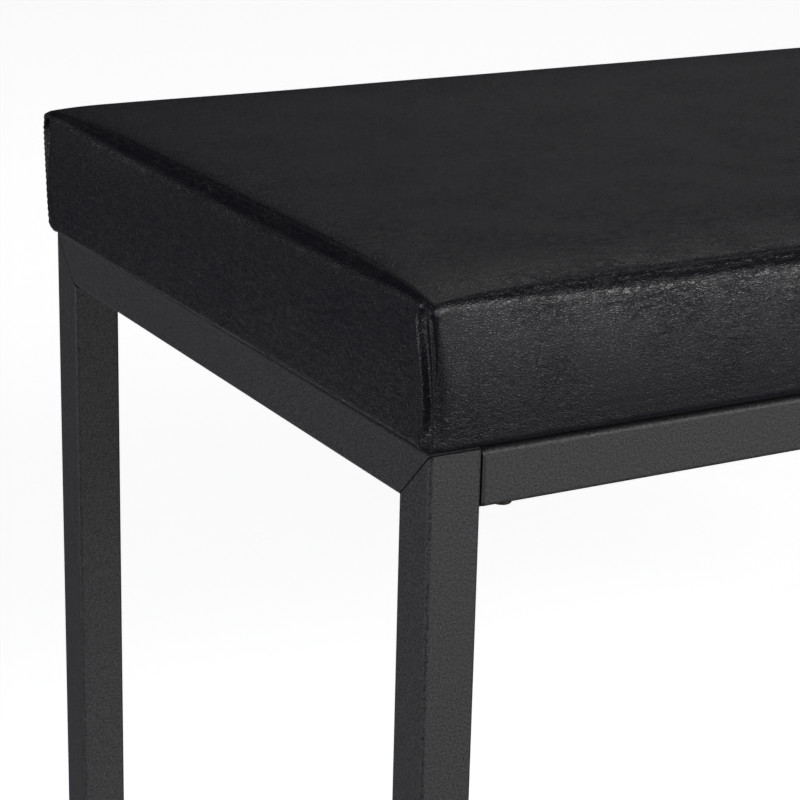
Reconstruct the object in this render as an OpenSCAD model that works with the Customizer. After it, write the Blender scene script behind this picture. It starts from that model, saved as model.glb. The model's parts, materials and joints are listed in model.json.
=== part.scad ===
// Entryway bench: an upholstered seat screwed down on a frame of square steel tube.
// Each end is a welded frame with mitred top corners, two long rails join the ends,
// and every leg stands on a levelling foot.
// Origin: on the floor under the middle of the seat. +X runs along the bench,
// +Y towards its back and +Z up. All sizes are millimetres.

/* [Overall size] */
// Length of the seat
seat_length = 1068; // [900:2:1200]
// Depth of the seat, front to back
seat_depth = 412; // [380:2:440]
// Height of the seat's top above the floor
seat_height = 457; // [420:1:500]

/* [Seat] */
// Height of the seat pad, from the frame's top to the seat's top
pad_height = 67; // [55:1:80]
// How far the pad's sides stand past the frame
seat_overhang = 6; // [4:0.5:8]
// Thickness of the plywood seat board
board_thick = 12; // [12:1:18]
// Thickness of the cover material
cover_thick = 1.2; // [0.8:0.1:1.6]
// Rounding of all the pad's edges
edge_radius = 8; // [6:1:14]
// Width of the cover's hem, turned in under the board
hem_width = 52; // [50:1:64]
// Thickness of the dust cover under the seat
dust_thick = 0.4; // [0.3:0.1:0.8]
// Distance from the pad's edge to the dust cover's edge
dust_inset = 38; // [38:1:42]
// Greatest distance between two staples
staple_pitch = 72; // [50:1:110]

/* [Frame] */
// Outside width of the square tube
tube = 25; // [22:1:27]
// Wall of the square tube
tube_wall = 1.5; // [1.2:0.1:2]
// Outside corner radius of the square tube
tube_corner = 2.2; // [2.1:0.1:3]
// Radius ground on a mitre's outer edge
ground_r = 1.2; // [0.4:0.1:1.4]
// How far the long rails' tops lie below the tops of the end frames
rail_drop = 1.5; // [1:0.25:3]

/* [Rail joints] */
// Thickness of the plastic collar between a leg and a rail
collar_thick = 1.6; // [1:0.2:3]
// Length of the stub, welded to the leg, that the rail slides over
stub_length = 32; // [24:1:50]
// Play between the stub and the inside of the rail, on each side
stub_play = 0.3; // [0.2:0.05:0.5]
// Distance from the leg's face to the rail screw
rail_screw_inset = 17.5; // [14:0.5:20]

/* [Screws] */
// Radius of the M5 rail screw's shank
rail_screw_r = 2.5; // [2.5:0.5:3]
// Radius of the rail screw's socket head
rail_head_r = 4.25; // [4:0.05:4.75]
// Height of the rail screw's head
rail_head_h = 4.2; // [3.5:0.1:5]
// Radius of the M6 seat screw's shank
seat_screw_r = 3; // [2.5:0.5:3]
// Length of the seat screw's shank
seat_screw_length = 38; // [38:0.5:38.5]
// Distance along a long rail from its middle to a seat screw
seat_screw_x = 260; // [150:5:330]

/* [Levelling feet] */
// Radius of the foot pad's base
foot_r = 11; // [9:0.5:12]
// Height of the foot pad
foot_pad_h = 7; // [7:0.5:9]
// Distance that a foot can be wound in
foot_travel = 5; // [3:0.5:6]
// Radius of the M8 stud
stud_r = 4; // [4:0.25:4.25]
// Width across the flats of the M8 hexagons
hex_flats = 13; // [13:0.5:14]
// Height of the stud's spanner hexagon
stud_hex_h = 3.5; // [3:0.5:5]
// Thickness of the tube insert's flange
insert_flange = 2.5; // [2:0.5:4]
// Depth of the tube insert's plug
insert_depth = 15; // [14:1:20]

/* [Hidden] */
$fn = 64;

// A corner's name, then its side along X and along Y.
CORNERS = [
    ["front_left", -1, -1], ["rear_left", -1, 1],
    ["front_right", 1, -1], ["rear_right", 1, 1]
];
eps = 1;                 // how far a cutting shape runs past what it cuts
fit = 0.05;              // play of a thread or a pressed plug, on each side

vinyl = [0.055, 0.055, 0.06];
steel_black = [0.13, 0.13, 0.135];
zinc = [0.62, 0.63, 0.65];
screw_dark = [0.17, 0.15, 0.14];
plastic_black = [0.07, 0.07, 0.07];
foam_colour = [0.86, 0.82, 0.66];
plywood = [0.76, 0.62, 0.42];
dust_black = [0.1, 0.1, 0.1];

frame_top = seat_height - pad_height;
frame_length = seat_length - 2 * seat_overhang;
frame_depth = seat_depth - 2 * seat_overhang;
leg_x = frame_length / 2 - tube / 2;
leg_y = frame_depth / 2 - tube / 2;

board_low = frame_top + cover_thick;
board_top = board_low + board_thick;
board_inset = edge_radius + 0.5;
board_length = seat_length - 2 * board_inset;
board_depth = seat_depth - 2 * board_inset;

rail_z = frame_top - rail_drop - tube / 2;
rail_low = rail_z - tube / 2;
rail_end = frame_length / 2 - tube - collar_thick;
rail_screw_x = frame_length / 2 - tube - rail_screw_inset;
stub_side = tube - 2 * tube_wall - 2 * stub_play;
stub_low = rail_z - stub_side / 2;
weld_nut_h = 4;
weld_nut_flats = 8;

clearance_r = 0.3;       // a screw's clearance hole is this much larger in radius
seat_head_r = 5.8;
seat_head_h = 3;
tee_flange_r = 9.5;
tee_flange_h = 1.5;
tee_sink = 0.4;
tee_barrel_r = 4;
tee_barrel_h = 9;
spacer_r = 8;

staple_crown = 10;
staple_wire = 0.6;
staple_leg = 8;
hem_staple_inset = hem_width - 4;
dust_staple_inset = dust_inset + 4;

// Heights up a foot: the disc in the pad's socket, the neck, the hexagon, the thread.
socket_r = 5.1;
socket_low = 2;
socket_top = 5;
socket_play = 0.1;
hex_low = foot_pad_h + 0.4;
hex_top = hex_low + stud_hex_h;
insert_low = hex_top + foot_travel + 0.5;
leg_low = insert_low + insert_flange;
foot_nut_h = 6.5;
stud_top = leg_low + foot_nut_h + 2;

// ---- shared shapes ----

module mirrored(side_x, side_y) {
    mirror([side_x > 0 ? 1 : 0, 0, 0]) mirror([0, side_y > 0 ? 1 : 0, 0]) children();
}

module rounded_rectangle(length, width, r) {
    square([length, width - 2 * r], center = true);
    square([length - 2 * r, width], center = true);
    for (x = [-1, 1], y = [-1, 1])
        translate([x * (length / 2 - r), y * (width / 2 - r)]) circle(r);
}

module tube_profile(side, r) {
    difference() {
        rounded_rectangle(side, side, r);
        rounded_rectangle(side - 2 * tube_wall, side - 2 * tube_wall, r - tube_wall);
    }
}

// A block on z = 0 with all its edges rounded to one radius.
module soft_block(length, width, height, r) {
    x = length / 2 - r;
    y = width / 2 - r;
    translate([0, 0, r]) linear_extrude(height - 2 * r) rounded_rectangle(length, width, r);
    translate([-x, -y, 0]) cube([2 * x, 2 * y, height]);
    for (side = [-1, 1], z = [r, height - r]) {
        translate([-x, side * y, z]) rotate([0, 90, 0]) cylinder(r = r, h = 2 * x);
        translate([side * x, -y, z]) rotate([-90, 0, 0]) cylinder(r = r, h = 2 * y);
        for (end = [-1, 1]) translate([side * x, end * y, z]) sphere(r);
    }
}

// The space inside the cover, standing on the board's underside.
module padding_block() {
    soft_block(
        seat_length - 2 * cover_thick, seat_depth - 2 * cover_thick,
        pad_height - 2 * cover_thick, edge_radius - cover_thick
    );
}

module board_outline() {
    rounded_rectangle(board_length, board_depth, 2);
}

module ring(outer_r, inner_r, height) {
    difference() {
        cylinder(r = outer_r, h = height);
        translate([0, 0, -eps]) cylinder(r = inner_r, h = height + 2 * eps);
    }
}

module hexagon(flats, height) {
    cylinder(d = flats / cos(30), h = height, $fn = 6);
}

// Head down, shank up, with the head's flat side on z = 0 and a cross recess below.
module pan_screw(head_r, head_h, shank_r, shank_length) {
    recess = [head_r * 1.1, head_r * 0.24, head_h * 1.2];
    difference() {
        rotate_extrude() polygon([
            [0, 0], [head_r, 0], [head_r, -head_h * 0.35],
            [head_r * 0.8, -head_h * 0.85], [head_r * 0.5, -head_h], [0, -head_h]
        ]);
        for (turn = [0, 90])
            rotate(turn) translate([0, 0, -head_h]) cube(recess, center = true);
    }
    cylinder(r = shank_r, h = shank_length);
}

// The same way up, with straight sides and a hexagon socket below.
module socket_screw(head_r, head_h, shank_r, shank_length) {
    difference() {
        rotate_extrude() polygon([
            [0, 0], [head_r, 0], [head_r, -head_h * 0.9],
            [head_r * 0.92, -head_h], [0, -head_h]
        ]);
        translate([0, 0, -head_h - eps]) hexagon(head_r * 0.94, head_h * 0.55 + eps);
    }
    cylinder(r = shank_r, h = shank_length);
}

// ---- places that repeat ----

module at_long_rail_screws() {
    for (x = [-1, 1], y = [-1, 1]) translate([x * seat_screw_x, y * leg_y, 0]) children();
}

module at_seat_screws() {
    at_long_rail_screws() children();
    for (x = [-1, 1]) translate([x * leg_x, 0, 0]) children();
}

module at_rail_screws() {
    for (x = [-1, 1], y = [-1, 1]) translate([x * rail_screw_x, y * leg_y, 0]) children();
}

// A row of staples on each side of a rectangle that lies inset from the pad's edge.
module at_staples(inset) {
    half_x = seat_length / 2 - inset;
    half_y = seat_depth / 2 - inset;
    count_x = ceil((2 * half_x - staple_pitch) / staple_pitch);
    count_y = ceil((2 * half_y - staple_pitch) / staple_pitch);
    step_x = 2 * half_x / (count_x + 1);
    step_y = 2 * half_y / (count_y + 1);
    for (side = [-1, 1]) {
        for (i = [1:count_x]) translate([-half_x + i * step_x, side * half_y, 0]) children();
        for (i = [1:count_y])
            translate([side * half_x, -half_y + i * step_y, 0]) rotate(90) children();
    }
}

module staple() {
    translate([-staple_crown / 2, -staple_wire, 0])
        cube([staple_crown, 2 * staple_wire, staple_wire]);
    for (side = [-1, 1])
        translate([side * (staple_crown - staple_wire) / 2 - staple_wire / 2, -staple_wire, 0])
            cube([staple_wire, 2 * staple_wire, staple_leg]);
}

// ---- the seat ----

module seat_cover() {
    window = [seat_length - 2 * hem_width, seat_depth - 2 * hem_width, 2 * eps + cover_thick];
    color(vinyl) translate([0, 0, frame_top]) difference() {
        soft_block(seat_length, seat_depth, pad_height, edge_radius);
        translate([0, 0, cover_thick]) padding_block();
        translate([-window[0] / 2, -window[1] / 2, -eps]) cube(window);
        at_seat_screws() translate([0, 0, -eps])
            cylinder(r = seat_screw_r + clearance_r, h = window[2]);
    }
}

// The foam lies on the board and wraps round its edges.
module seat_foam() {
    color(foam_colour) translate([0, 0, board_low]) difference() {
        padding_block();
        translate([0, 0, -eps]) linear_extrude(board_thick + eps) board_outline();
    }
}

module seat_board() {
    color(plywood) difference() {
        translate([0, 0, board_low]) linear_extrude(board_thick) board_outline();
        at_seat_screws() {
            translate([0, 0, board_low - eps])
                cylinder(r = tee_barrel_r + fit, h = board_thick + 2 * eps);
            translate([0, 0, board_top - tee_sink - tee_flange_h])
                cylinder(r = tee_flange_r + fit, h = tee_flange_h + tee_sink + eps);
        }
    }
}

module dust_cover() {
    length = seat_length - 2 * dust_inset;
    width = seat_depth - 2 * dust_inset;
    color(dust_black) translate([-length / 2, -width / 2, frame_top - dust_thick])
        cube([length, width, dust_thick]);
}

module hem_staples() {
    color(zinc) translate([0, 0, frame_top]) at_staples(hem_staple_inset) staple();
}

module dust_cover_staples() {
    color(zinc) translate([0, 0, frame_top - dust_thick - staple_wire])
        at_staples(dust_staple_inset) staple();
}

module tee_nuts() {
    color(zinc) at_seat_screws() translate([0, 0, board_top - tee_sink - tee_flange_h]) {
        ring(tee_flange_r, seat_screw_r + fit, tee_flange_h);
        translate([0, 0, -tee_barrel_h]) ring(tee_barrel_r, seat_screw_r + fit, tee_barrel_h);
    }
}

module seat_screws() {
    color(screw_dark) {
        translate([0, 0, rail_low]) at_long_rail_screws()
            pan_screw(seat_head_r, seat_head_h, seat_screw_r, seat_screw_length);
        translate([0, 0, frame_top - tube]) for (x = [-1, 1]) translate([x * leg_x, 0, 0])
            pan_screw(seat_head_r, seat_head_h, seat_screw_r, seat_screw_length);
    }
}

module seat_spacers() {
    color(plastic_black) translate([0, 0, frame_top - rail_drop]) at_long_rail_screws()
        ring(spacer_r, seat_screw_r + clearance_r, rail_drop);
}

// ---- the frame ----

// What is ground away where a mitre's outer edge is rounded over.
module ground_edge() {
    translate([-leg_x - tube / 2 - eps, -frame_depth / 2, frame_top]) rotate([90, 0, 90])
        linear_extrude(tube + 2 * eps) difference() {
            translate([-eps, -ground_r]) square(ground_r + eps);
            translate([ground_r, -ground_r]) circle(ground_r);
        }
}

// The mitre runs from the end frame's outer top edge, down and in at 45 degrees.
module leg() {
    color(steel_black) difference() {
        translate([-leg_x, -leg_y, leg_low])
            linear_extrude(frame_top - leg_low) tube_profile(tube, tube_corner);
        translate([-leg_x - tube / 2 - eps, -frame_depth / 2, frame_top]) rotate([90, 0, 90])
            linear_extrude(tube + 2 * eps)
                polygon([[-eps, eps], [tube + eps, -tube - eps], [tube + eps, eps]]);
        ground_edge();
    }
}

module end_rail() {
    color(steel_black) difference() {
        translate([-leg_x, 0, frame_top - tube / 2]) rotate([90, 0, 0])
            linear_extrude(frame_depth, center = true) tube_profile(tube, tube_corner);
        for (side = [-1, 1]) mirrored(-1, side) {
            translate([-leg_x - tube / 2 - eps, -frame_depth / 2, frame_top])
                rotate([90, 0, 90]) linear_extrude(tube + 2 * eps)
                    polygon([[-eps, eps], [-eps, -tube - eps], [tube + eps, -tube - eps]]);
            ground_edge();
        }
        translate([-leg_x, 0, frame_top - tube - eps])
            cylinder(r = seat_screw_r + clearance_r, h = tube + 2 * eps);
    }
}

module long_rail() {
    color(steel_black) difference() {
        translate([0, -leg_y, rail_z]) rotate([90, 0, 90])
            linear_extrude(2 * rail_end, center = true) tube_profile(tube, tube_corner);
        for (x = [-1, 1]) {
            translate([x * rail_screw_x, -leg_y, rail_low - eps])
                cylinder(r = rail_screw_r + clearance_r, h = tube_wall + 2 * eps);
            translate([x * seat_screw_x, -leg_y, rail_low - eps])
                cylinder(r = seat_screw_r + clearance_r, h = tube + 2 * eps);
        }
    }
}

module rail_stub() {
    color(steel_black) difference() {
        translate([-leg_x + tube / 2, -leg_y, rail_z]) rotate([90, 0, 90])
            linear_extrude(stub_length) tube_profile(stub_side, tube_corner);
        translate([-rail_screw_x, -leg_y, stub_low - eps])
            cylinder(r = rail_screw_r + clearance_r, h = tube_wall + 2 * eps);
    }
}

module collar() {
    hole = stub_side + 2 * fit;
    color(plastic_black) translate([-leg_x + tube / 2, -leg_y, rail_z]) rotate([90, 0, 90])
        linear_extrude(collar_thick) difference() {
            rounded_rectangle(tube, tube, tube_corner + 0.4);
            rounded_rectangle(hole, hole, tube_corner);
        }
}

module rail_screws() {
    grip = 2 * tube_wall + stub_play + weld_nut_h + 1.5;
    color(screw_dark) translate([0, 0, rail_low]) at_rail_screws()
        socket_screw(rail_head_r, rail_head_h, rail_screw_r, grip);
}

module rail_weld_nuts() {
    color(zinc) translate([0, 0, stub_low + tube_wall]) at_rail_screws() difference() {
        hexagon(weld_nut_flats, weld_nut_h);
        translate([0, 0, -eps]) cylinder(r = rail_screw_r + fit, h = weld_nut_h + 2 * eps);
    }
}

// ---- the levelling feet ----

module foot_insert() {
    plug = tube - 2 * tube_wall - 2 * fit;
    color(plastic_black) translate([-leg_x, -leg_y, insert_low]) difference() {
        union() {
            linear_extrude(insert_flange) rounded_rectangle(tube, tube, tube_corner);
            translate([0, 0, insert_flange])
                linear_extrude(insert_depth) rounded_rectangle(plug, plug, 1.2);
        }
        translate([0, 0, -eps])
            cylinder(r = stud_r + 0.15, h = insert_flange + insert_depth + 2 * eps);
        translate([0, 0, insert_flange]) hexagon(hex_flats, foot_nut_h);
    }
}

module foot_nuts() {
    color(zinc) for (corner = CORNERS) mirrored(corner[1], corner[2])
        translate([-leg_x, -leg_y, leg_low]) difference() {
            hexagon(hex_flats, foot_nut_h);
            translate([0, 0, -eps]) cylinder(r = stud_r + fit, h = foot_nut_h + 2 * eps);
        }
}

module foot_stud() {
    disc_low = socket_low + socket_play;
    disc_top = socket_top - socket_play;
    color(zinc) translate([-leg_x, -leg_y, 0]) {
        translate([0, 0, disc_low])
            cylinder(r = socket_r - socket_play, h = disc_top - disc_low);
        translate([0, 0, disc_low]) cylinder(r = stud_r, h = stud_top - disc_low);
        translate([0, 0, hex_low]) hexagon(hex_flats, stud_hex_h);
    }
}

module foot_pad() {
    base_h = 2.5;
    color(plastic_black) translate([-leg_x, -leg_y, 0]) rotate_extrude() polygon([
        [0, 0], [foot_r - 0.8, 0], [foot_r, 0.8], [foot_r, base_h],
        [foot_r - 3.5, foot_pad_h], [stud_r + socket_play, foot_pad_h],
        [stud_r + socket_play, socket_top], [socket_r, socket_top],
        [socket_r, socket_low], [0, socket_low]
    ]);
}

// ---- the nodes ----

seat_cover();
seat_foam();
seat_board();
dust_cover();
hem_staples();
dust_cover_staples();
tee_nuts();
seat_screws();
seat_spacers();
end_rail();  // left_end_rail
mirrored(1, -1) end_rail();  // right_end_rail
long_rail();  // front_rail
mirrored(-1, 1) long_rail();  // rear_rail
rail_screws();
rail_weld_nuts();
foot_nuts();
for (corner = CORNERS) mirrored(corner[1], corner[2]) {
    leg();
    rail_stub();
    collar();
    foot_insert();
    foot_stud();
    foot_pad();
}
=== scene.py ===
"""Entryway bench: a boxed vinyl seat on a powder-coated square-tube frame with levelling feet.

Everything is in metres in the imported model's frame: +X along the bench, +Y to its back, +Z up.
"""

import json
import math

import bpy
import numpy as np
from mathutils import Matrix, Vector
from mathutils.kdtree import KDTree


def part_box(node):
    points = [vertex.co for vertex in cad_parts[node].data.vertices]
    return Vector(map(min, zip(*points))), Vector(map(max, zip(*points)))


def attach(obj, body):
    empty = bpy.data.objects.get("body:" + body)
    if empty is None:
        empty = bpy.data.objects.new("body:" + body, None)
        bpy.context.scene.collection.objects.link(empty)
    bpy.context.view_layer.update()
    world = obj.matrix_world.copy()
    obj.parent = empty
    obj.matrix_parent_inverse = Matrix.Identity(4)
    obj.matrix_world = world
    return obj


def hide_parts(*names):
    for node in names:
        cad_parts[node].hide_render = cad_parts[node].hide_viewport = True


MM = 0.001
CORNERS = ("front_left", "rear_left", "front_right", "rear_right")

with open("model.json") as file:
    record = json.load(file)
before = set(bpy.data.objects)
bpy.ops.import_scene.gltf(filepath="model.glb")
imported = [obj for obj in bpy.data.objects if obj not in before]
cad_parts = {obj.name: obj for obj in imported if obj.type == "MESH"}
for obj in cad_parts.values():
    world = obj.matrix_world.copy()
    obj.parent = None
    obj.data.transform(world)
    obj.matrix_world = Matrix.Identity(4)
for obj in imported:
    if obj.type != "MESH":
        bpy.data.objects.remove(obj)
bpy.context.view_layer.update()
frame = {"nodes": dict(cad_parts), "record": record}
nodes = frame["nodes"]
scene = bpy.context.scene


# ---- measures read from the frame ----

leg_low, leg_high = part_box("front_left_leg")
seat_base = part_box("seat_cover")[0].z
dust_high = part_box("dust_cover")[1]


# ---- camera, lights and floor ----

# The camera's place from the top near corner of the left end frame, its turn from +Y toward +X, its
# tilt down, its roll, and its focal length in millimetres.
CAMERA_FROM_CORNER = Vector((-0.47431, -0.80779, 0.33095))
CAMERA_YAW = math.radians(29.656)
CAMERA_PITCH = math.radians(18.167)
CAMERA_ROLL = math.radians(1.416)
CAMERA_LENS = 111.679


def make_camera():
    """The lens looks along the bench's near end from its front left, a little down."""
    data = bpy.data.cameras.new("camera")
    data.lens = CAMERA_LENS
    data.sensor_width = 36
    data.clip_start = 0.05
    data.clip_end = 200
    camera = bpy.data.objects.new("camera", data)
    scene.collection.objects.link(camera)
    forward = Vector((
        math.sin(CAMERA_YAW) * math.cos(CAMERA_PITCH),
        math.cos(CAMERA_YAW) * math.cos(CAMERA_PITCH),
        -math.sin(CAMERA_PITCH),
    ))
    level_right = Vector((math.cos(CAMERA_YAW), -math.sin(CAMERA_YAW), 0))
    level_up = level_right.cross(forward)
    right = math.cos(CAMERA_ROLL) * level_right + math.sin(CAMERA_ROLL) * level_up
    up = math.cos(CAMERA_ROLL) * level_up - math.sin(CAMERA_ROLL) * level_right
    place = Vector((leg_low.x, leg_low.y, leg_high.z)) + CAMERA_FROM_CORNER
    camera.matrix_world = Matrix((
        (right.x, up.x, -forward.x, place.x),
        (right.y, up.y, -forward.y, place.y),
        (right.z, up.z, -forward.z, place.z),
        (0, 0, 0, 1),
    ))
    scene.camera = camera


# Soft light from the studio: direction, strength, and how tightly it is gathered.
GLOWS = [
    ((0.47, -0.77, 0.43), 3.10, 24.0),
    ((0.45, -0.86, -0.24), 1.45, 13.0),
    ((0.46, 0.59, 0.65), 1.10, 31.0),
    ((-0.53, 0.83, 0.12), 1.30, 70.0),
    ((-0.93, -0.05, -0.28), 2.00, 40.0),
    ((-0.13, 0.80, -0.62), 0.90, 60.0),
]
AMBIENT = (0.015, 0.015, 0.019)
BACKDROP = (1.0, 1.0, 1.0)

# Name, place, target, size in metres, watts and colour of each softbox.
SOFTBOXES = (
    ("key", (1.5, -2.7, 1.6), (0, 0, 0.4), (1.5, 1.1), 41, (1, 1, 1)),
    ("rim", (-3.0, -0.3, 1.0), (-0.5, 0, 0.4), (0.5, 1.2), 23, (0.93, 0.95, 1.0)),
)

FLOOR_SIDE = 60.0
FLOOR_GREY = (0.84, 0.84, 0.84)
# The floor's own glow, as the camera sees it and as it lights the bench.
FLOOR_GLOW = 0.80
FLOOR_LIGHT = 0.35


def math_node(tree, operation, a, b=None):
    """A Math node's output. Each of a and b is a number or another node's output."""
    node = tree.nodes.new("ShaderNodeMath")
    node.operation = operation
    for socket, value in zip(node.inputs, (a, b)):
        if isinstance(value, (int, float)):
            socket.default_value = value
        elif value is not None:
            tree.links.new(value, socket)
    return node.outputs[0]


def make_world():
    """Broad soft glows round the bench, and a plain pale backdrop behind it."""
    world = bpy.data.worlds.new("studio")
    scene.world = world
    world.use_nodes = True
    tree = world.node_tree
    tree.nodes.clear()
    where = tree.nodes.new("ShaderNodeTexCoord").outputs["Generated"]
    total = None
    for direction, strength, tightness in GLOWS:
        dot = tree.nodes.new("ShaderNodeVectorMath")
        dot.operation = "DOT_PRODUCT"
        tree.links.new(where, dot.inputs[0])
        dot.inputs[1].default_value = Vector(direction).normalized()
        away = math_node(tree, "SUBTRACT", dot.outputs["Value"], 1.0)
        fall = math_node(tree, "EXPONENT", math_node(tree, "MULTIPLY", away, tightness))
        glow = math_node(tree, "MULTIPLY", fall, strength)
        total = glow if total is None else math_node(tree, "ADD", total, glow)
    glows = tree.nodes.new("ShaderNodeBackground")
    tree.links.new(total, glows.inputs["Strength"])
    ambient = tree.nodes.new("ShaderNodeBackground")
    ambient.inputs["Color"].default_value = (*AMBIENT, 1)
    lit = tree.nodes.new("ShaderNodeAddShader")
    tree.links.new(glows.outputs[0], lit.inputs[0])
    tree.links.new(ambient.outputs[0], lit.inputs[1])
    backdrop = tree.nodes.new("ShaderNodeBackground")
    backdrop.inputs["Color"].default_value = (*BACKDROP, 1)
    pick = tree.nodes.new("ShaderNodeMixShader")
    path = tree.nodes.new("ShaderNodeLightPath")
    tree.links.new(path.outputs["Is Camera Ray"], pick.inputs[0])
    tree.links.new(lit.outputs[0], pick.inputs[1])
    tree.links.new(backdrop.outputs[0], pick.inputs[2])
    output = tree.nodes.new("ShaderNodeOutputWorld")
    tree.links.new(pick.outputs[0], output.inputs["Surface"])


def make_softbox(name, place, target, size, power, colour):
    data = bpy.data.lights.new(name, "AREA")
    data.shape = "RECTANGLE"
    data.size, data.size_y = size
    data.energy = power
    data.color = colour
    light = bpy.data.objects.new(name, data)
    scene.collection.objects.link(light)
    light.location = place
    light.rotation_euler = (Vector(target) - Vector(place)).to_track_quat("-Z", "Y").to_euler()


def make_floor():
    """A wide pale floor, which glossy surfaces don't reflect."""
    half = FLOOR_SIDE / 2
    mesh = bpy.data.meshes.new("floor")
    mesh.from_pydata(
        [(-half, -half, 0), (half, -half, 0), (half, half, 0), (-half, half, 0)], [], [(0, 1, 2, 3)]
    )
    floor = bpy.data.objects.new("floor", mesh)
    scene.collection.objects.link(floor)
    material = bpy.data.materials.new("floor")
    material.use_nodes = True
    shader = material.node_tree.nodes["Principled BSDF"]
    shader.inputs["Base Color"].default_value = (*FLOOR_GREY, 1)
    shader.inputs["Roughness"].default_value = 0.95
    shader.inputs["Specular IOR Level"].default_value = 0.1
    shader.inputs["Emission Color"].default_value = (1, 1, 1, 1)
    seen = material.node_tree.nodes.new("ShaderNodeLightPath").outputs["Is Camera Ray"]
    extra = math_node(material.node_tree, "MULTIPLY", seen, FLOOR_GLOW - FLOOR_LIGHT)
    glow = math_node(material.node_tree, "ADD", extra, FLOOR_LIGHT)
    material.node_tree.links.new(glow, shader.inputs["Emission Strength"])
    mesh.materials.append(material)
    floor.visible_glossy = False


# ---- materials ----
# The scales of noise and cells count them per metre.


class Shade:
    """A material's node tree, with short ways to add what the finishes below share."""

    def __init__(self, name):
        self.material = bpy.data.materials.new(name)
        self.material.use_nodes = True
        self.tree = self.material.node_tree
        self.shader = self.tree.nodes["Principled BSDF"]
        self.where = self.tree.nodes.new("ShaderNodeTexCoord").outputs["Object"]

    def node(self, kind, **settings):
        made = self.tree.nodes.new("ShaderNode" + kind)
        for key, value in settings.items():
            setattr(made, key, value)
        return made

    def link(self, source, socket):
        self.tree.links.new(source, socket)

    def set(self, **values):
        for key, value in values.items():
            self.shader.inputs[key.replace("_", " ")].default_value = value

    def scaled(self, stretch):
        """The object's coordinates, stretched by a factor on each axis."""
        mapping = self.node("Mapping")
        mapping.inputs["Scale"].default_value = stretch
        self.link(self.where, mapping.inputs["Vector"])
        return mapping.outputs["Vector"]

    def noise(self, scale, detail=2.0, rough=0.5, distortion=0.0, where=None):
        made = self.node("TexNoise")
        made.inputs["Scale"].default_value = scale
        made.inputs["Detail"].default_value = detail
        made.inputs["Roughness"].default_value = rough
        made.inputs["Distortion"].default_value = distortion
        self.link(where or self.where, made.inputs["Vector"])
        return made.outputs["Fac"]

    def cells(self, scale, feature="F1", where=None):
        made = self.node("TexVoronoi", feature=feature)
        made.inputs["Scale"].default_value = scale
        self.link(where or self.where, made.inputs["Vector"])
        return made.outputs["Distance"]

    def spread(self, value, low, high, to_low=0.0, to_high=1.0):
        """The value, moved and stretched so that low to high becomes to_low to to_high."""
        made = self.node("MapRange")
        for key, number in zip(("From Min", "From Max", "To Min", "To Max"), (low, high, to_low, to_high)):
            made.inputs[key].default_value = number
        self.link(value, made.inputs["Value"])
        return made.outputs["Result"]

    def calc(self, operation, a, b=None):
        return math_node(self.tree, operation, a, b)

    def tint(self, factor, dark, light):
        made = self.node("Mix", data_type="RGBA")
        made.inputs["A"].default_value = (*dark, 1)
        made.inputs["B"].default_value = (*light, 1)
        self.link(factor, made.inputs["Factor"])
        self.link(made.outputs["Result"], self.shader.inputs["Base Color"])

    def rough(self, factor, low, high):
        self.link(self.spread(factor, 0, 1, low, high), self.shader.inputs["Roughness"])

    def bump(self, height, distance, strength=1.0, under=None):
        made = self.node("Bump")
        made.inputs["Strength"].default_value = strength
        made.inputs["Distance"].default_value = distance
        self.link(height, made.inputs["Height"])
        if under is not None:
            self.link(under, made.inputs["Normal"])
        self.link(made.outputs["Normal"], self.shader.inputs["Normal"])
        return made.outputs["Normal"]


GRAIN_WANDER = 2.4 * MM
GRAIN_DEPTH = 0.21 * MM
PUCKER_DEPTH = 0.7 * MM


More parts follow.
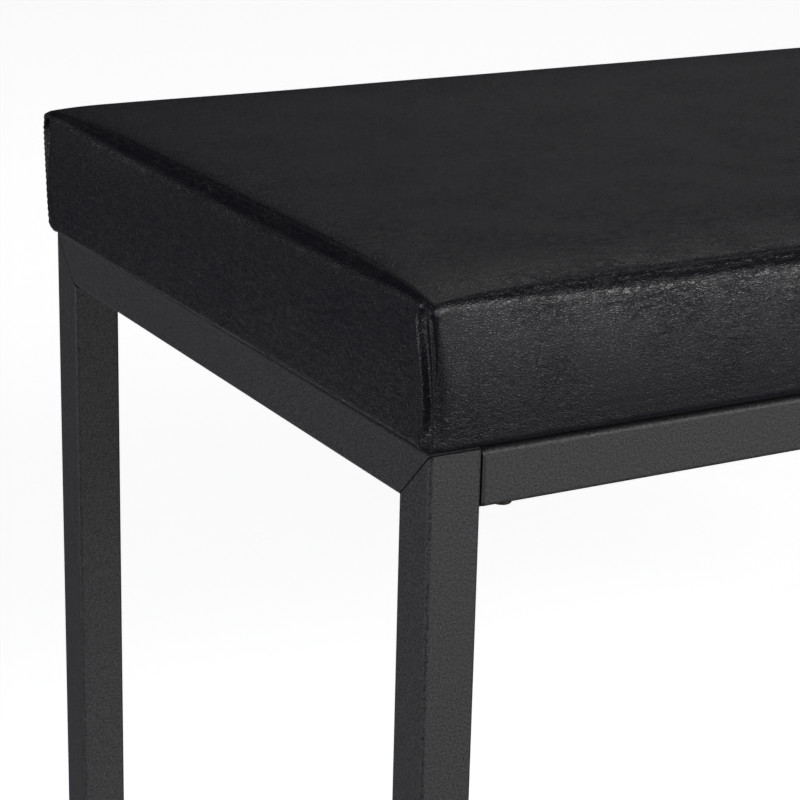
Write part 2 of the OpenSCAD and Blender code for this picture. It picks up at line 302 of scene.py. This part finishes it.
def vinyl():
    """Black faux leather: a fine pebble grain with short creases, and a satin sheen, with painted shade
    darkening the colour in the creases and low grain.
    """
    s = Shade("vinyl")
    wander = s.node("TexNoise")
    wander.inputs["Scale"].default_value = 260
    s.link(s.where, wander.inputs["Vector"])
    warp = s.node("VectorMath", operation="MULTIPLY_ADD")
    s.link(wander.outputs["Color"], warp.inputs[0])
    warp.inputs[1].default_value = (GRAIN_WANDER, GRAIN_WANDER, GRAIN_WANDER)
    s.link(s.where, warp.inputs[2])
    flatter = s.node("Mapping")
    flatter.inputs["Scale"].default_value = (0.72, 0.72, 1.25)
    s.link(warp.outputs["Vector"], flatter.inputs["Vector"])
    pebble = s.spread(s.cells(760, "DISTANCE_TO_EDGE", flatter.outputs["Vector"]), 0.0, 0.30)
    grain = s.noise(1400)
    patches = s.spread(s.noise(24, detail=3.0), 0.40, 0.62)
    stretched = s.scaled((0.45, 0.55, 1.15))
    crease_field = s.noise(330, detail=3.0, rough=0.6, distortion=1.0, where=stretched)
    ridge = s.calc("ABSOLUTE", s.calc("SUBTRACT", crease_field, 0.5))
    crease_lines = s.spread(ridge, 0.0, 0.07, 1.0, 0.0)
    creases = s.calc("MULTIPLY", crease_lines, s.spread(patches, 0.0, 1.0, 0.35, 1.0))
    height = s.calc("SUBTRACT", s.calc("MULTIPLY", pebble, 0.36), s.calc("MULTIPLY", creases, 0.75))
    height = s.calc("ADD", height, s.calc("MULTIPLY", grain, 0.45))
    puckers = s.bump(s.noise(55), PUCKER_DEPTH, strength=0.3)
    s.bump(height, GRAIN_DEPTH, under=puckers)
    # The grain's tops less its creases: this mix makes the creases rougher, and also paints shade into them.
    raised_and_crease_shade = s.calc("ADD", s.calc("MULTIPLY", pebble, 0.5), s.calc("MULTIPLY", grain, 0.8))
    raised_and_crease_shade = s.spread(s.calc("SUBTRACT", raised_and_crease_shade, s.calc("MULTIPLY", creases, 0.4)), 0.2, 1.0)
    # Painted shade: the base colour goes darker in the creases and between the pebbles, where shade falls.
    s.tint(raised_and_crease_shade, (0.0036, 0.0034, 0.0062), (0.0100, 0.0096, 0.0142))
    s.rough(raised_and_crease_shade, 0.46, 0.17)
    s.set(Specular_IOR_Level=0.45)
    return s.material


COAT_TEXTURE = 0.36 * MM
MITRE_LINE = 0.6 * MM


def powder_coat():
    """Dark charcoal powder coat with a fine texture, and a faint line where a mitre was ground: a bump
    groove, with painted shade darkening the colour along it.
    """
    s = Shade("powder_coat")
    speckle = s.noise(1150, detail=3.0, rough=0.7)
    orange = s.noise(560)
    axes = s.node("SeparateXYZ")
    s.link(s.where, axes.inputs[0])
    # The mitre is where a point is as far below the frame's top as it is in from its front or back.
    below_top = s.calc("SUBTRACT", leg_high.z, axes.outputs["Z"])
    from_side = s.calc("SUBTRACT", -leg_low.y, s.calc("ABSOLUTE", axes.outputs["Y"]))
    from_mitre = s.calc("ABSOLUTE", s.calc("SUBTRACT", below_top, from_side))
    end_frame_face = -leg_high.x - 0.5 * MM
    at_end = s.calc("GREATER_THAN", s.calc("ABSOLUTE", axes.outputs["X"]), end_frame_face)
    mitre_groove_and_shade = s.calc("MULTIPLY", s.spread(from_mitre, 0.0, MITRE_LINE, 1.0, 0.0), at_end)
    height = s.calc("ADD", s.calc("MULTIPLY", speckle, 0.5), s.calc("MULTIPLY", orange, 0.8))
    height = s.calc("SUBTRACT", height, s.calc("MULTIPLY", mitre_groove_and_shade, 2.5))
    s.bump(height, COAT_TEXTURE)
    # Painted shade: the colour darkens along the mitre line, as shade in its groove would.
    shade = s.calc("SUBTRACT", s.spread(speckle, 0.35, 0.65), s.calc("MULTIPLY", mitre_groove_and_shade, 1.5))
    s.tint(shade, (0.008, 0.008, 0.0095), (0.066, 0.066, 0.068))
    s.rough(orange, 0.42, 0.58)
    return s.material


def black_plastic():
    s = Shade("black_plastic")
    s.bump(s.noise(900, detail=3.0), 0.08 * MM, strength=0.5)
    s.tint(s.noise(60), (0.010, 0.010, 0.010), (0.017, 0.017, 0.017))
    s.rough(s.noise(300), 0.42, 0.6)
    return s.material


def zinc_steel():
    s = Shade("zinc_steel")
    s.set(Metallic=1.0)
    drawn = s.noise(500, detail=3.0, rough=0.6, where=s.scaled((1, 1, 6)))
    s.bump(drawn, 0.04 * MM, strength=0.5)
    s.tint(s.noise(150), (0.50, 0.51, 0.53), (0.66, 0.66, 0.67))
    s.rough(s.noise(220, detail=3.0), 0.24, 0.42)
    return s.material


def dark_screw():
    s = Shade("dark_screw")
    s.set(Metallic=0.6)
    s.bump(s.noise(700, detail=3.0), 0.05 * MM, strength=0.5)
    s.tint(s.noise(180), (0.040, 0.034, 0.030), (0.075, 0.064, 0.056))
    s.rough(s.noise(260, detail=3.0), 0.36, 0.52)
    return s.material


def dust_fabric():
    """Spun-bonded cloth: tangled fibres pressed into a thin sheet."""
    s = Shade("dust_fabric")
    fibres = s.noise(900, detail=3.0, rough=0.65, distortion=2.0)
    dimples = s.cells(420)
    height = s.calc("ADD", s.calc("MULTIPLY", fibres, 0.8), s.calc("MULTIPLY", dimples, 0.6))
    s.bump(height, 0.2 * MM, strength=0.8)
    s.tint(fibres, (0.014, 0.014, 0.0145), (0.034, 0.034, 0.035))
    s.rough(fibres, 0.78, 0.95)
    return s.material


def plywood():
    s = Shade("plywood")
    grain = s.noise(30, detail=4.0, rough=0.6, distortion=0.6, where=s.scaled((0.15, 1.6, 1)))
    s.bump(grain, 0.3 * MM, strength=0.5)
    s.tint(s.spread(grain, 0.3, 0.7), (0.38, 0.24, 0.12), (0.64, 0.47, 0.28))
    s.rough(grain, 0.6, 0.8)
    return s.material


def foam():
    s = Shade("foam")
    pores = s.cells(700)
    s.bump(pores, 0.6 * MM, strength=0.8)
    s.tint(pores, (0.60, 0.52, 0.32), (0.80, 0.74, 0.52))
    s.rough(pores, 0.85, 0.98)
    return s.material


FINISHES = {
    "vinyl": vinyl, "foam": foam, "plywood": plywood, "dust_fabric": dust_fabric,
    "powder_coat": powder_coat, "black_plastic": black_plastic,
    "zinc_steel": zinc_steel, "dark_screw": dark_screw,
}


def dress_nodes(materials):
    """Gives every CAD node the finish that its record names."""
    for part in frame["record"]["subparts"]:
        node = nodes[part["node"]]
        for slot in node.material_slots:
            slot.material = materials[part["material_slot"]]


# ---- the seat pad ----

PAD_HEIGHT = 67.4 * MM
PAD_HALF_X = 532.4 * MM
PAD_HALF_Y = 205.0 * MM
CORNER_R = 3.0 * MM
TOP_ROLL_R = 8.5 * MM
BASE_ROLL_R = 4.5 * MM
ROLL_GROWTH = 34 * MM

# The finished mesh: its finest steps lie within EDGE_BAND of the pad's edges.
FINE_STEP = 0.35 * MM
COARSE_STEP = 6.0 * MM
UPRIGHT_FINE_STEP = 0.6 * MM
UPRIGHT_COARSE_STEP = 1.1 * MM
EDGE_BAND = 9 * MM

# The copy that swells as cloth.
SWELL_STEP = 4 * MM
SWELL_WIDE_STEP = 12 * MM
SWELL_UPRIGHT_STEP = 6 * MM
SWELL_VOXEL = 6 * MM
SWELL_FRAMES = 20
SWELL_PRESSURE = 4
SWELL_BENDING = 2.0
SWELL_CAP = 1.8 * MM
SMOOTHINGS = 14
BASE_HOLD = 7 * MM
EDGE_HOLD = 4.5 * MM
CARRIED_BY = 7
CARRY_SOFTENING = 3 * MM

# The slack in the finished cover.
WAVE_HEIGHT = 0.35 * MM
WAVE_LENGTH = 110 * MM
CORNER_DROOP = 4.2 * MM
DROOP_REACH = 17 * MM
CORNER_REACH = 45 * MM
SHOULDER_DROP = 1.9 * MM
SHOULDER_WIDTH = 6 * MM
SHOULDER_REACH = 6.0 * MM
BROW_DRAW = 3.2 * MM
BROW_REACH = 8.0 * MM
TUCK_SHARE = 0.35
TUCK_REACH = 16 * MM
END_DRAW_REAR = 0.2 * MM
END_DRAW_FRONT = 2.6 * MM
SIDE_DRAW = 3.4 * MM
DRAW_REACH = 60 * MM

# The folded seam at each upright corner: lengths in millimetres, and the arch's top and fade as
# shares of the pad's height.
TROUGH_OUTER = 1.7
TROUGH_SPREAD = 6.4
TROUGH_INNER = 0.5
TROUGH_SHIFT = 1.9
TROUGH_DEPTH = 2.6
WALL_RUN = 2.4
WALL_RUN_HIGH = 1.8
WALL_RUN_LOW = 3.0
ARCH_TOP = 0.945
ARCH_FADE = 0.08
LIP_HEIGHT = 0.55
LIP_WIDTH = 2.2
BEAD_HEIGHT = 0.65
BEAD_WIDTH = 0.38
BEAD_INSET = 0.15
STITCH_PITCH = 3.4
STITCH_SHARE = 0.3
HOLLOW_INSET = 0.9
HOLLOW_DEPTH = 0.6
HOLLOW_DEPTH_LOW = 1.2
HOLLOW_WIDTH = 1.9
HOLLOW_WIDTH_LOW = 4.2


def grid_lines(half, fine, coarse, growth=0.12):
    """Positions from -half to half, close together at both ends and further apart between."""
    run, at = [], 0.0
    while at < half:
        run.append(half - at)
        at += min(coarse, fine + growth * max(0.0, at - EDGE_BAND))
    if run[-1] < coarse * 0.5:
        run.pop()
    return np.array([-x for x in run] + [0.0] + run[::-1])


def box_grid(xs, ys, zs):
    """Points and quads of a box's six sides, sharing their edges. Faces look outward."""
    index, points, quads = {}, [], []

    def point(i, j, k):
        key = (i, j, k)
        if key not in index:
            index[key] = len(points)
            points.append((xs[i], ys[j], zs[k]))
        return index[key]

    last_x, last_y, last_z = len(xs) - 1, len(ys) - 1, len(zs) - 1
    for i in range(last_x):
        for j in range(last_y):
            for k, order in ((last_z, 1), (0, -1)):
                quad = [point(i, j, k), point(i + 1, j, k), point(i + 1, j + 1, k), point(i, j + 1, k)]
                quads.append(quad[::order])
        for k in range(last_z):
            for j, order in ((0, 1), (last_y, -1)):
                quad = [point(i, j, k), point(i + 1, j, k), point(i + 1, j, k + 1), point(i, j, k + 1)]
                quads.append(quad[::order])
    for j in range(last_y):
        for k in range(last_z):
            for i, order in ((0, -1), (last_x, 1)):
                quad = [point(i, j, k), point(i, j + 1, k), point(i, j + 1, k + 1), point(i, j, k + 1)]
                quads.append(quad[::order])
    return np.array(points), quads


def smooth_step(value, low, high):
    """0 up to low, 1 from high on, and a smooth rise between."""
    t = np.clip((value - low) / (high - low), 0, 1)
    return t * t * (3 - 2 * t)


def bell(value, middle, width):
    """1 at the middle, falling smoothly to near 0 at twice the width from it."""
    return np.exp(-(((value - middle) / width) ** 2))


def ripple(points, seed, length, count=7):
    """A gentle random unevenness, about -1 to 1, with waves of about the given length."""
    random = np.random.default_rng(seed)
    total = np.zeros(len(points))
    for _ in range(count):
        direction = random.normal(size=3)
        direction *= (2 * math.pi / (length * random.uniform(0.6, 1.6))) / np.linalg.norm(direction)
        total += np.sin(points @ direction + random.uniform(0, 2 * math.pi))
    return total / count


def rounded(box):
    """The pad's plain form: tight upright corners, and a top edge whose roll opens away from them."""
    x_in = np.maximum(PAD_HALF_X - np.abs(box[:, 0]), 0)
    y_in = np.maximum(PAD_HALF_Y - np.abs(box[:, 1]), 0)
    level = np.clip(box[:, 2] / PAD_HEIGHT, 0, 1)
    away_from_corner = 1 - np.exp(-(((x_in**4 + y_in**4) ** 0.25) / ROLL_GROWTH))
    roll = BASE_ROLL_R + (TOP_ROLL_R - BASE_ROLL_R) * smooth_step(level, 0.35, 0.7)
    radius = CORNER_R + (roll - CORNER_R) * away_from_corner
    half = np.array([PAD_HALF_X, PAD_HALF_Y])
    core = box.copy()
    for axis in (0, 1):
        core[:, axis] = np.clip(box[:, axis], -(half[axis] - radius), half[axis] - radius)
    core[:, 2] = np.clip(box[:, 2], radius, PAD_HEIGHT - radius)
    away = box - core
    normal = away / np.linalg.norm(away, axis=1)[:, None]
    return core + radius[:, None] * normal, normal, x_in, y_in, level


def swell_coarse(make_copy):
    """Blows a coarse copy of the pad up as cloth, held along its base and its edges. Returns the
    copy's points, and how far out of the pad each one goes."""
    coarse = make_copy()
    scene.frame_set(1)
    remesh = coarse.modifiers.new("remesh", "REMESH")
    remesh.mode = "VOXEL"
    remesh.voxel_size = SWELL_VOXEL
    bpy.context.view_layer.update()
    solid = bpy.data.meshes.new_from_object(coarse.evaluated_get(bpy.context.evaluated_depsgraph_get()))
    bpy.data.objects.remove(coarse)
    bag = bpy.data.objects.new("swell", solid)
    scene.collection.objects.link(bag)
    rest = np.empty(len(solid.vertices) * 3)
    solid.vertices.foreach_get("co", rest)
    rest = rest.reshape(-1, 3)
    x_in = PAD_HALF_X - np.abs(rest[:, 0])
    y_in = PAD_HALF_Y - np.abs(rest[:, 1])
    z_in = seat_base + PAD_HEIGHT - rest[:, 2]
    # A point is near an edge when it is near two of the pad's sides.
    second_nearest = np.sort(np.stack([x_in, y_in, z_in]), axis=0)[1]
    fixed = (rest[:, 2] < seat_base + BASE_HOLD) | (second_nearest < EDGE_HOLD)
    held = bag.vertex_groups.new(name="held")
    held.add([int(i) for i in np.nonzero(fixed)[0]], 1.0, "REPLACE")
    cloth = bag.modifiers.new("cloth", "CLOTH")
    cloth.settings.quality = 3
    cloth.settings.use_pressure = True
    cloth.settings.uniform_pressure_force = SWELL_PRESSURE
    cloth.settings.vertex_group_mass = "held"
    cloth.settings.effector_weights.gravity = 0
    cloth.settings.bending_stiffness = SWELL_BENDING
    cloth.point_cache.frame_start = 1
    cloth.point_cache.frame_end = SWELL_FRAMES
    for step in range(1, SWELL_FRAMES + 1):
        scene.frame_set(step)
    bulged = bag.evaluated_get(bpy.context.evaluated_depsgraph_get()).to_mesh()
    moved = np.empty(len(bulged.vertices) * 3)
    bulged.vertices.foreach_get("co", moved)
    moved = moved.reshape(-1, 3) - rest
    outward = np.empty(len(solid.vertices) * 3)
    solid.vertices.foreach_get("normal", outward)
    amount = np.maximum((moved * outward.reshape(-1, 3)).sum(axis=1), 0)
    amount = SWELL_CAP * np.tanh(amount / SWELL_CAP)
    # Each round of smoothing moves every amount toward the mean of the points joined to it.
    ends = np.empty(len(solid.edges) * 2, dtype=int)
    solid.edges.foreach_get("vertices", ends)
    ends = ends.reshape(-1, 2)
    around = np.bincount(ends.ravel(), minlength=len(amount))
    for _ in range(SMOOTHINGS):
        total = np.bincount(ends[:, 0], amount[ends[:, 1]], len(amount))
        total += np.bincount(ends[:, 1], amount[ends[:, 0]], len(amount))
        amount = 0.4 * amount + 0.6 * total / around
    bpy.data.objects.remove(bag)
    bpy.data.meshes.remove(solid)
    scene.frame_set(1)
    return rest, amount


def carried(points, rest, amount):
    """Each point's share of the swelling, from the coarse points nearest to it."""
    tree = KDTree(len(rest))
    for i, place in enumerate(rest):
        tree.insert(place, i)
    tree.balance()
    out = np.zeros(len(points))
    for i, place in enumerate(points):
        total = 0.0
        for _, near, distance in tree.find_n(place, CARRIED_BY):
            weight = 1 / (distance + CARRY_SOFTENING) ** 3
            out[i] += weight * amount[near]
            total += weight
        out[i] /= total
    return out


def across_seam(normal, x_in, y_in):
    """Millimetres round the cover from the corner's middle: below 0 on the end panel, above on the
    long panel."""
    turn = np.arctan2(np.abs(normal[:, 1]), np.abs(normal[:, 0])) - math.pi / 4
    beyond = np.where(turn > 0, np.maximum(0, x_in - CORNER_R), -np.maximum(0, y_in - CORNER_R))
    return (CORNER_R * turn + beyond) / MM


def seam_relief(normal, x_in, y_in, z):
    """How far the cover stands out or dips beside each upright seam. The end panel is tucked in there:
    an arched trough, wide at the top and narrow at the base, with a rolled lip round it. The long
    panel's turned edge stands along the trough's other side, with a hollow behind it."""
    along = across_seam(normal, x_in, y_in)
    level = np.clip(z / PAD_HEIGHT, 0, 1)
    low = 1 - level
    # The trough's two sides, its middle and half its width, which closes to an arch at its top.
    outer = -TROUGH_OUTER - TROUGH_SPREAD * level**1.3
    inner = TROUGH_INNER - TROUGH_SHIFT * level**3
    middle = (outer + inner) / 2
    half = (inner - outer) / 2 * np.sqrt(np.clip((ARCH_TOP - level) / ARCH_FADE, 0, 1))
    on_end = along < middle
    above = np.maximum(0, level - ARCH_TOP) * PAD_HEIGHT / MM
    off = np.abs(along - middle) - half
    off = np.where((above > 0) & (off > 0), np.hypot(off, above), off + above)
    # The trough's wall is a slope on the end panel and steep at the turned edge.
    slope = WALL_RUN + WALL_RUN_HIGH * smooth_step(level, 0.45, 0.8)
    slope += WALL_RUN_LOW * smooth_step(low, 0.72, 0.93)
    wall = np.where(on_end, smooth_step(-off, -slope, 0.2), smooth_step(-off, -0.15, 0.65))
    above_base = smooth_step(level, 0.02, 0.2)
    relief = -TROUGH_DEPTH * wall * (0.5 + 0.5 * above_base)
    lip_part = np.where(on_end, 1, smooth_step(level, 0.88, 0.95))
    relief += LIP_HEIGHT * bell(off, slope + 0.6, LIP_WIDTH) * lip_part
    stitched = 1 + STITCH_SHARE * np.sin(2 * math.pi * z / (STITCH_PITCH * MM))
    bead = bell(along, inner + BEAD_INSET, BEAD_WIDTH) * smooth_step(0.95 - level, 0, 0.06)
    relief += BEAD_HEIGHT * stitched * bead
    behind = np.maximum(0, along - inner - HOLLOW_INSET)
    hollow_depth = (HOLLOW_DEPTH + HOLLOW_DEPTH_LOW * low**0.7) * (0.4 + 0.6 * above_base)
    hollow = hollow_depth * np.exp(-((behind / (HOLLOW_WIDTH + HOLLOW_WIDTH_LOW * low)) ** 2))
    relief -= hollow * smooth_step(along - inner, 0.2, 1.1) * smooth_step(0.98 - level, 0, 0.08)
    upright = smooth_step(np.hypot(normal[:, 0], normal[:, 1]), 0.5, 0.9)
    return relief * upright * MM


def drawn_in(box, level, from_corner, open_edge):
    """How far each point draws in along x and y: the lower sides toward the frame's edge, the ends
    more so at the front, and every side at the top edge."""
    brow = BROW_DRAW * open_edge * np.exp((box[:, 2] - PAD_HEIGHT) / BROW_REACH)
    toward_front = smooth_step(-box[:, 1], -PAD_HALF_Y, PAD_HALF_Y)
    under_roll = np.clip(BASE_ROLL_R - box[:, 2], 0, None)
    tucked = BASE_ROLL_R - np.sqrt(np.clip(BASE_ROLL_R**2 - under_roll**2, 0, None))
    tucked *= TUCK_SHARE * np.exp(-from_corner / TUCK_REACH)
    draw_x = (1 - level) ** 1.3 * (END_DRAW_REAR + END_DRAW_FRONT * toward_front) + tucked + brow
    draw_y = (1 - level) ** 4 * SIDE_DRAW + tucked + brow
    return draw_x, draw_y


def pad_shape(box, swelling=None):
    """The upholstered pad's surface for points on a plain box that stands on z = 0."""
    shape, normal, x_in, y_in, level = rounded(box)
    if swelling is not None:
        shape = shape + normal * carried(shape + (0, 0, seat_base), *swelling)[:, None]
    sideways = np.hypot(normal[:, 0], normal[:, 1])
    wavy_part = sideways * np.sin(math.pi * level) + 0.8 * np.clip(normal[:, 2], 0, 1)
    out = WAVE_HEIGHT * ripple(shape, 3, WAVE_LENGTH) * wavy_part
    out += seam_relief(normal, x_in, y_in, box[:, 2])
    shape = shape + normal * out[:, None]
    # The top droops at its corners, and less along its edges.
    from_corner = np.hypot(x_in, y_in)
    shape[:, 2] -= CORNER_DROOP * np.exp(-from_corner / DROOP_REACH) * smooth_step(level, 0.4, 1.0)
    open_edge = 1 - np.exp(-from_corner / CORNER_REACH)
    from_edge = np.minimum(x_in, y_in)
    shoulder = np.exp(-np.maximum(from_edge - SHOULDER_WIDTH, 0) / SHOULDER_REACH)
    shape[:, 2] -= SHOULDER_DROP * shoulder * open_edge * smooth_step(level, 0.5, 1.0)
    draw_x, draw_y = drawn_in(box, level, from_corner, open_edge)
    shape[:, 0] -= np.sign(box[:, 0]) * draw_x * np.clip(1 - x_in / DRAW_REACH, 0, 1)
    shape[:, 1] -= np.sign(box[:, 1]) * draw_y * np.clip(1 - y_in / DRAW_REACH, 0, 1)
    return shape


def make_mesh_object(name, points, faces, material, smooth=True):
    mesh = bpy.data.meshes.new(name)
    mesh.from_pydata([tuple(p) for p in points], [], faces)
    mesh.materials.append(material)
    mesh.polygons.foreach_set("use_smooth", [smooth] * len(mesh.polygons))
    mesh.update()
    made = bpy.data.objects.new(name, mesh)
    scene.collection.objects.link(made)
    return made


def pad_box(step, wide_step, upright_step, upright_wide_step):
    """A plain box of the pad's size that stands on z = 0, as points and quads."""
    xs = grid_lines(PAD_HALF_X, step, wide_step)
    ys = grid_lines(PAD_HALF_Y, step, wide_step)
    zs = grid_lines(PAD_HEIGHT / 2, upright_step, upright_wide_step) + PAD_HEIGHT / 2
    return box_grid(xs, ys, zs)


def make_seat_pad(material):
    def coarse_copy():
        box, quads = pad_box(SWELL_STEP, SWELL_WIDE_STEP, SWELL_STEP, SWELL_UPRIGHT_STEP)
        points = rounded(box)[0]
        return make_mesh_object("swell_start", points + (0, 0, seat_base), quads, material)

    swelling = swell_coarse(coarse_copy)
    box, quads = pad_box(FINE_STEP, COARSE_STEP, UPRIGHT_FINE_STEP, UPRIGHT_COARSE_STEP)
    points = pad_shape(box, swelling) + (0, 0, seat_base)
    pad = make_mesh_object("seat_pad", points, quads, material)
    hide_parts("seat_cover", "seat_foam")
    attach(pad, "bench")


# ---- the dust cover ----

CLOTH_THICK = 0.35 * MM
CLOTH_SAG = 1.3 * MM
SAG_LENGTH = 160 * MM
CLOTH_GAP = 0.02 * MM
CLOTH_COLUMNS = 248
CLOTH_ROWS = 84
SLACK_REACH = 40 * MM
PUCKER = 0.35 * MM
PUCKER_REACH = 18 * MM
WRINKLE = 0.10 * MM
WRINKLE_LENGTH = 28 * MM
STAPLE_INSET = 4 * MM
STAPLE_PITCH = 72 * MM


def staple_wave(along, half):
    """About 1 at each staple of an edge and -1 midway between two. The edge runs from -half to half."""
    count = math.ceil((2 * (half - STAPLE_INSET) - STAPLE_PITCH) / STAPLE_PITCH) + 1
    return np.cos(2 * math.pi * (along + half) / (2 * half) * count)


def make_dust_cover(material):
    """Thin cloth stapled along its edges: it hangs a little between the staples, and puckers at them."""
    half_x, half_y = dust_high.x, dust_high.y
    xs = np.linspace(-half_x, half_x, CLOTH_COLUMNS + 1)
    ys = np.linspace(-half_y, half_y, CLOTH_ROWS + 1)
    box, quads = box_grid(xs, ys, np.array([0.0, CLOTH_THICK]))
    x, y = box[:, 0], box[:, 1]
    x_in, y_in = half_x - np.abs(x), half_y - np.abs(y)
    slack = (1 - np.exp(-x_in / SLACK_REACH)) * (1 - np.exp(-y_in / SLACK_REACH))
    drop = CLOTH_SAG * slack * (1 + 0.25 * ripple(box, 11, SAG_LENGTH))
    drop += PUCKER * (1 - staple_wave(x, half_x)) / 2 * np.exp(-y_in / PUCKER_REACH)
    drop += PUCKER * (1 - staple_wave(y, half_y)) / 2 * np.exp(-x_in / PUCKER_REACH)
    drop += WRINKLE * (1 + ripple(box, 12, WRINKLE_LENGTH)) * slack
    points = box.copy()
    points[:, 2] += dust_high.z - CLOTH_THICK - CLOTH_GAP - drop
    cloth = make_mesh_object("dust_cover_cloth", points, quads, material)
    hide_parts("dust_cover")
    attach(cloth, "bench")


# ---- the threaded feet ----

THREAD_PITCH = 1.25 * MM
THREAD_DEPTH = 0.65 * MM
THREAD_CLEARANCE = 0.04 * MM
THREAD_RUN_IN = 1.2 * MM
THREAD_TAPER = 0.8 * MM
RINGS_PER_TURN = 9
STUD_SPOKES = 72
STUD_R = 4.0 * MM
NECK_R = STUD_R - 0.1 * MM
TIP_R = 0.2 * MM
DISC_R = 5.0 * MM
DISC_SHOULDER = 4.5 * MM
DISC_TOP = 4.9 * MM
DISC_CHAMFER = 0.4 * MM
HEX_HALF_FLATS = 6.5 * MM
HEX_LOW = 7.4 * MM
HEX_HIGH = 10.9 * MM
HEX_CHAMFER = 0.45 * MM


def stud_rings(low, high, turn):
    """The stud's height and radii, ring by ring from its disc up. Each ring has a radius per angle."""
    rings = []

    def ring(z, radius):
        rings.append((z, radius * np.ones(len(turn))))

    ring(low, TIP_R)
    ring(low, DISC_R - DISC_CHAMFER)
    ring(low + DISC_CHAMFER, DISC_R)
    ring(DISC_SHOULDER, DISC_R)
    ring(DISC_TOP, DISC_R - DISC_CHAMFER)
    ring(DISC_TOP, NECK_R)
    ring(HEX_LOW, NECK_R)
    hexagon = HEX_HALF_FLATS / np.cos((turn + math.pi / 6) % (math.pi / 3) - math.pi / 6)
    chamfer_r = HEX_HALF_FLATS * 0.97
    ring(HEX_LOW, np.minimum(hexagon, chamfer_r))
    ring(HEX_LOW + HEX_CHAMFER, np.minimum(hexagon, chamfer_r + 1.1 * MM))
    ring(HEX_HIGH - HEX_CHAMFER, np.minimum(hexagon, chamfer_r + 1.1 * MM))
    ring(HEX_HIGH, np.minimum(hexagon, chamfer_r))
    thread_end = high - THREAD_TAPER
    z = HEX_HIGH
    while z < high:
        phase = (z / THREAD_PITCH - turn / (2 * math.pi)) % 1
        groove = np.clip(1.15 - np.abs(phase - 0.5) * 2.6, 0, 1)
        run_in = min(1, (z - HEX_HIGH) / THREAD_RUN_IN) if z < thread_end else 1.0
        taper = max(0.0, z - thread_end)
        ring(z, STUD_R - THREAD_CLEARANCE - THREAD_DEPTH * groove * run_in - taper)
        z += THREAD_PITCH / RINGS_PER_TURN
    ring(high, STUD_R - 1.0 * MM)
    ring(high, TIP_R)
    return rings


def make_stud(corner, material):
    """A levelling stud: a disc held in its pad, a hexagon for the spanner, and an M8 thread."""
    low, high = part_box(corner + "_foot_stud")
    middle = (low + high) / 2
    turn = np.arange(STUD_SPOKES) * 2 * math.pi / STUD_SPOKES
    rings = stud_rings(low.z, high.z, turn)
    points, faces = [], []
    for z, radius in rings:
        points += [(middle.x + r * math.cos(a), middle.y + r * math.sin(a), z) for r, a in zip(radius, turn)]
    for k in range(len(rings) - 1):
        here, above = k * STUD_SPOKES, (k + 1) * STUD_SPOKES
        for i in range(STUD_SPOKES):
            j = (i + 1) % STUD_SPOKES
            faces.append((here + i, here + j, above + j, above + i))
    faces.append(tuple(range(STUD_SPOKES))[::-1])
    faces.append(tuple(range((len(rings) - 1) * STUD_SPOKES, len(rings) * STUD_SPOKES)))
    stud = make_mesh_object(corner + "_threaded_stud", points, faces, material, smooth=False)
    stud.data.set_sharp_from_angle(angle=math.radians(40))
    for polygon in stud.data.polygons:
        polygon.use_smooth = True
    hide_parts(corner + "_foot_stud")
    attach(stud, corner + "_stud")


# ---- build ----

scene.view_settings.view_transform = "Standard"
make_camera()
make_world()
make_floor()
for softbox in SOFTBOXES:
    make_softbox(*softbox)

materials = {slot: finish() for slot, finish in FINISHES.items()}
dress_nodes(materials)
make_seat_pad(materials["vinyl"])
make_dust_cover(materials["dust_fabric"])
for corner in CORNERS:
    make_stud(corner, materials["zinc_steel"])
